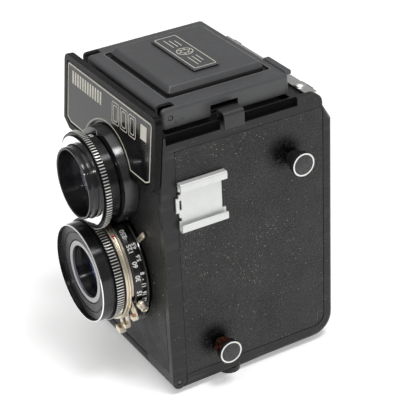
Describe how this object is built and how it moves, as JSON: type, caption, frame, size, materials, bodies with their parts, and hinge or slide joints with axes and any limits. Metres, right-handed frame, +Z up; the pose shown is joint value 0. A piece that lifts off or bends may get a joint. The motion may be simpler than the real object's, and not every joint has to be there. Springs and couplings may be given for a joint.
{
  "type": "twin lens reflex camera",
  "caption": "Box camera for roll film with a viewing lens above the taking lens, geared focusing rings, a folding hood with magnifier, hinged back, spool knobs and accessory shoe.",
  "frame": {"origin": "middle of the footprint, on the surface that the feet stand on", "axes": "+Z up, -Y towards what is pictured (the way the lenses point), +X to the camera's right as seen from in front, the side with the accessory shoe"},
  "size_m": [0.0906, 0.0964, 0.128],
  "materials": {
    "black_shell": "satin moulded plastic",
    "pebbled_skin": "fine pebbled grain, matt",
    "black_gloss": "gloss",
    "bright_metal": "satin bright plating",
    "hood_paint": "satin dark grey paint",
    "black_baffle": "matt black paint",
    "steel": "satin",
    "mirror": "front-silvered",
    "ground_glass": "ground on one side",
    "brass": "turned",
    "red_window": "clear deep red",
    "glass": "polished, bluish coating",
    "cream_nickel": "warm satin nickel",
    "black_anodised": "black anodised, worn bright on the teeth",
    "grey_ring": "grey anodised"
  },
  "bodies": {
    "casing": {"body_shell": "black_shell", "front_panel": "pebbled_skin", "side_panel_right": "pebbled_skin", "side_panel_left": "pebbled_skin", "front_bezel": "black_gloss", "name_plate": "black_gloss", "accessory_shoe": "bright_metal", "strap_lug_right": "hood_paint", "strap_lug_left": "hood_paint", "light_cone": "black_baffle", "film_gate": "black_baffle", "mirror": "mirror", "focusing_screen": "ground_glass", "hood_frame": "black_shell", "shutter_housing": "black_gloss", "shutter_blades": "black_anodised", "diaphragm": "black_anodised", "rear_lens_cell": "black_anodised", "taking_lens_rear": "glass", "shutter_locknut": "steel", "sync_socket": "cream_nickel"},
    "door": {"back_door": "black_shell", "door_hinge_pin": "brass", "tripod_bush": "brass", "pressure_plate": "steel", "pressure_spring": "steel", "red_window": "red_window"},
    "window_cover": {"window_cover": "black_shell"},
    "latch": {"latch_bar": "bright_metal"},
    "lid": {"hood_lid": "hood_paint", "hood_badge": "hood_paint", "hood_pin_right": "brass", "hood_pin_left": "brass"},
    "flap_right": {"hood_flap_right": "black_shell"},
    "flap_left": {"hood_flap_left": "black_shell"},
    "flap_rear": {"hood_flap_rear": "black_shell"},
    "magnifier": {"magnifier_frame": "bright_metal", "magnifier_lens": "glass"},
    "taking_focus": {"taking_gear": "black_anodised", "taking_barrel": "black_anodised", "taking_retaining_ring": "grey_ring", "taking_lens_front": "glass"},
    "viewing_focus": {"viewing_gear": "black_anodised", "viewing_scale_ring": "black_anodised", "viewing_face_ring": "bright_metal", "viewing_tube": "black_anodised", "viewing_lens_front": "glass"},
    "speed_ring": {"speed_ring": "cream_nickel"},
    "aperture_lever": {"aperture_lever": "cream_nickel"},
    "cocking_lever": {"cocking_lever": "cream_nickel"},
    "release_lever": {"release_lever": "cream_nickel"},
    "timer_lever": {"timer_lever": "cream_nickel"},
    "winder": {"winding_knob": "black_shell", "winding_shaft": "steel", "takeup_spool": "black_shell"},
    "spool_knob_upper": {"spool_knob_upper": "black_shell"},
    "spool_knob_lower": {"spool_knob_lower": "black_shell"},
    "spool_knob_left": {"spool_knob_left": "black_shell"},
    "roller_lower": {"roller_lower": "steel"},
    "roller_upper": {"roller_upper": "steel"}
  },
  "joints": [
    {"name": "door_hinge", "type": "hinge", "parent": "casing", "child": "door", "pos_m": [0, -0.0257, 0.0055], "axis": [-1, 0, 0], "range_deg": [0, 100]},
    {"name": "window_cover_slide", "type": "slide", "parent": "door", "child": "window_cover", "axis": [0, 0, 1], "range_m": [0, 0.014]},
    {"name": "latch_slide", "type": "slide", "parent": "casing", "child": "latch", "axis": [-1, 0, 0], "range_m": [0, 0.003]},
    {"name": "lid_hinge", "type": "hinge", "parent": "casing", "child": "lid", "pos_m": [0, -0.0204, 0.1197], "axis": [1, 0, 0], "range_deg": [0, 90]},
    {"name": "flap_right_hinge", "type": "hinge", "parent": "casing", "child": "flap_right", "pos_m": [0.0308, 0, 0.1168], "axis": [0, 1, 0], "range_deg": [0, 90]},
    {"name": "flap_left_hinge", "type": "hinge", "parent": "casing", "child": "flap_left", "pos_m": [-0.0308, 0, 0.1168], "axis": [0, -1, 0], "range_deg": [0, 90]},
    {"name": "flap_rear_hinge", "type": "hinge", "parent": "casing", "child": "flap_rear", "pos_m": [0, 0.0284, 0.1146], "axis": [-1, 0, 0], "range_deg": [0, 90]},
    {"name": "magnifier_hinge", "type": "hinge", "parent": "lid", "child": "magnifier", "pos_m": [0, 0.0012, 0.1238], "axis": [-1, 0, 0], "range_deg": [0, 90]},
    {"name": "taking_focus_turn", "type": "hinge", "parent": "casing", "child": "taking_focus", "pos_m": [0, -0.0408, 0.0454], "axis": [0, 1, 0], "range_deg": [0, 240]},
    {"name": "viewing_focus_turn", "type": "hinge", "parent": "casing", "child": "viewing_focus", "pos_m": [0, -0.0408, 0.086], "axis": [0, 1, 0], "range_deg": [-260, 0]},
    {"name": "speed_ring_turn", "type": "hinge", "parent": "casing", "child": "speed_ring", "pos_m": [0, -0.0376, 0.0454], "axis": [0, 1, 0], "range_deg": [0, 85]},
    {"name": "aperture_turn", "type": "hinge", "parent": "casing", "child": "aperture_lever", "pos_m": [0, -0.0298, 0.0454], "axis": [0, 1, 0], "range_deg": [0, 58]},
    {"name": "cocking_turn", "type": "hinge", "parent": "casing", "child": "cocking_lever", "pos_m": [0, -0.036, 0.0454], "axis": [0, 1, 0], "range_deg": [0, 35]},
    {"name": "release_press", "type": "hinge", "parent": "casing", "child": "release_lever", "pos_m": [0.01424, -0.036, 0.03165], "axis": [0, -1, 0], "range_deg": [0, 8], "stiffness_Nm_per_rad": 0.02},
    {"name": "timer_turn", "type": "hinge", "parent": "casing", "child": "timer_lever", "pos_m": [0.01854, -0.036, 0.03791], "axis": [0, 1, 0], "range_deg": [0, 40]},
    {"name": "winder_spin", "type": "hinge", "parent": "casing", "child": "winder", "pos_m": [0, 0.0296, 0.0903], "axis": [1, 0, 0], "continuous": true},
    {"name": "spool_knob_upper_pull", "type": "slide", "parent": "casing", "child": "spool_knob_upper", "axis": [1, 0, 0], "range_m": [0, 0.005]},
    {"name": "spool_knob_lower_pull", "type": "slide", "parent": "casing", "child": "spool_knob_lower", "axis": [1, 0, 0], "range_m": [0, 0.005]},
    {"name": "spool_knob_left_pull", "type": "slide", "parent": "casing", "child": "spool_knob_left", "axis": [-1, 0, 0], "range_m": [0, 0.005]},
    {"name": "roller_lower_spin", "type": "hinge", "parent": "casing", "child": "roller_lower", "pos_m": [0, 0.0386, 0.0132], "axis": [1, 0, 0], "continuous": true},
    {"name": "roller_upper_spin", "type": "hinge", "parent": "casing", "child": "roller_upper", "pos_m": [0, 0.0386, 0.078], "axis": [1, 0, 0], "continuous": true}
  ],
  "couplings": [
    {"joint": "flap_right_hinge", "follows": "lid_hinge", "ratio": 1},
    {"joint": "flap_left_hinge", "follows": "lid_hinge", "ratio": 1},
    {"joint": "flap_rear_hinge", "follows": "lid_hinge", "ratio": 1},
    {"joint": "magnifier_hinge", "follows": "lid_hinge", "ratio": 1},
    {"joint": "viewing_focus_turn", "follows": "taking_focus_turn", "ratio": -1.0816}
  ]
}
